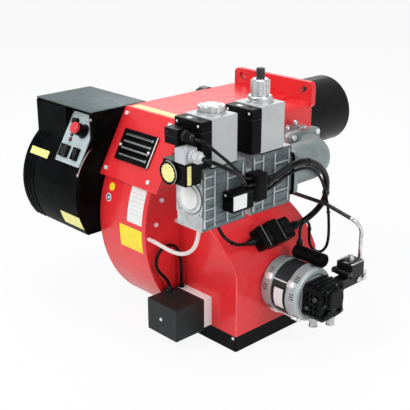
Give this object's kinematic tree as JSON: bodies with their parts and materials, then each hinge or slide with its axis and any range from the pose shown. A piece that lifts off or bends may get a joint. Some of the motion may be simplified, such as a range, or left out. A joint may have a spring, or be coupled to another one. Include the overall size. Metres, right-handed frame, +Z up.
{
  "type": "dual fuel forced draught burner",
  "caption": "Industrial burner with fan housing, intake hood, twin solenoid gas train, oil pump set, blast tube and boiler flange; turning fan, dampers, switches and adjusters.",
  "frame": {"origin": "on the firing axis, at the boiler face of the mounting flange", "axes": "+Y the way the flame goes, +Z up, +X the side of the gas train"},
  "size_m": [0.703, 0.665, 0.5703],
  "materials": {
    "red_paint": "gloss red enamel on sheet and castings",
    "black_paint": "satin black enamel",
    "black_plastic": "black moulding, fine grain",
    "grey_panel": "light grey-blue control plate, left bare",
    "lamp_plastic": "domed lamp lenses",
    "red_plastic": "red button",
    "rocker_plastic": "glossy black rockers",
    "white_plastic": "white moulding",
    "grey_plastic": "light grey moulding",
    "yellow_plastic": "pale yellow setting dial",
    "cast_aluminium": "pressure cast aluminium",
    "coil_grey": "grey lacquered coil housing",
    "galvanised": "zinc plated steel",
    "bright_steel": "turned steel",
    "stainless": "stainless sheet of the diffuser",
    "ceramic": "glazed electrode rods",
    "stator_black": "black lacquered laminations",
    "pump_black": "black lacquered pump block",
    "copper_pipe": "plated oil pipe",
    "black_rubber": "black cable sheath",
    "white_hose": "white impulse hose"
  },
  "bodies": {
    "burner": {"air_switch": "white_plastic", "base_cabinet": "red_paint", "base_plinth": "black_paint", "blast_tube": "black_paint", "cable_sleeve": "black_plastic", "capacitor": "black_plastic", "coil_block_1": "coil_grey", "coil_block_2": "coil_grey", "coil_cable": "black_rubber", "coil_plug": "black_plastic", "connector": "black_plastic", "control_panel": "grey_panel", "damper_servo": "grey_plastic", "fan_housing": "red_paint", "fan_motor": "cast_aluminium", "gas_elbow": "cast_aluminium", "gas_manifold": "galvanised", "housing_screws": "galvanised", "ignition_cable": "black_rubber", "inlet_plate": "red_paint", "inlet_plug": "white_plastic", "intake_floor": "black_paint", "intake_hood": "black_plastic", "leak_tester": "black_plastic", "louvre_grille": "black_plastic", "main_cable": "black_rubber", "motor_cable": "black_rubber", "mounting_flange": "red_paint", "oil_pipe": "copper_pipe", "oil_pump": "pump_black", "panel_fittings": "black_plastic", "pilot_lamps": "lamp_plastic", "pressure_hose": "white_hose", "pressure_switch": "black_plastic", "pump_fittings": "galvanised", "pump_motor_bells": "cast_aluminium", "pump_stator": "stator_black", "solenoid_valve": "black_plastic", "switch_cable": "black_rubber", "switch_plug": "grey_plastic", "terminal_covers": "black_plastic", "throttle_housing": "cast_aluminium", "top_cover": "red_paint", "transformer_base": "white_plastic", "transformer_cover": "black_plastic", "valve_body_1": "cast_aluminium", "valve_body_2": "cast_aluminium", "valve_cable": "black_rubber"},
    "fan_rotor": {"fan_impeller": "galvanised"},
    "pump_drive": {"pump_rotor": "bright_steel"},
    "air_flap": {"air_damper": "galvanised"},
    "throttle": {"gas_throttle": "bright_steel"},
    "head": {"nozzle_lance": "bright_steel", "diffuser": "stainless", "electrodes": "ceramic"},
    "reset": {"reset_button": "red_plastic"},
    "selector": {"fuel_selector": "rocker_plastic"},
    "main_switch": {"burner_switch": "rocker_plastic"},
    "dial": {"pressure_dial": "yellow_plastic"},
    "adjuster": {"flow_adjuster": "cast_aluminium"}
  },
  "joints": [
    {"name": "fan_spin", "type": "hinge", "parent": "burner", "child": "fan_rotor", "pos_m": [-0.1, -0.205, -0.108], "axis": [1, 0, 0], "continuous": true},
    {"name": "pump_spin", "type": "hinge", "parent": "burner", "child": "pump_drive", "pos_m": [0.245, -0.194, -0.266], "axis": [1, 0, 0], "continuous": true},
    {"name": "air_damper_turn", "type": "hinge", "parent": "burner", "child": "air_flap", "pos_m": [-0.2185, -0.345, -0.1825], "axis": [1, 0, 0], "range_deg": [0, 90]},
    {"name": "gas_throttle_turn", "type": "hinge", "parent": "burner", "child": "throttle", "pos_m": [0.13, -0.08, -0.023], "axis": [0, 0, 1], "range_deg": [0, 90]},
    {"name": "head_slide", "type": "slide", "parent": "burner", "child": "head", "axis": [0, 1, 0], "range_m": [0, 0.01]},
    {"name": "reset_press", "type": "slide", "parent": "burner", "child": "reset", "axis": [0, 0.866, -0.5], "range_m": [0, 0.004], "stiffness_N_per_m": 300, "springref_m": -0.002},
    {"name": "fuel_selector_rock", "type": "hinge", "parent": "burner", "child": "selector", "pos_m": [-0.187, -0.442, -0.01987], "axis": [1, 0, 0], "range_deg": [-12, 12]},
    {"name": "burner_switch_rock", "type": "hinge", "parent": "burner", "child": "main_switch", "pos_m": [-0.149, -0.442, -0.01987], "axis": [1, 0, 0], "range_deg": [-24, 0]},
    {"name": "pressure_dial_turn", "type": "hinge", "parent": "burner", "child": "dial", "pos_m": [0.196, -0.486, 0.033], "axis": [0, -1, 0], "range_deg": [-135, 135]},
    {"name": "flow_adjuster_turn", "type": "hinge", "parent": "burner", "child": "adjuster", "pos_m": [0.198, -0.263, 0.15], "axis": [0, 0, 1], "range_deg": [-175, 175]}
  ],
  "couplings": [
    {"joint": "gas_throttle_turn", "follows": "air_damper_turn", "ratio": 1}
  ]
}
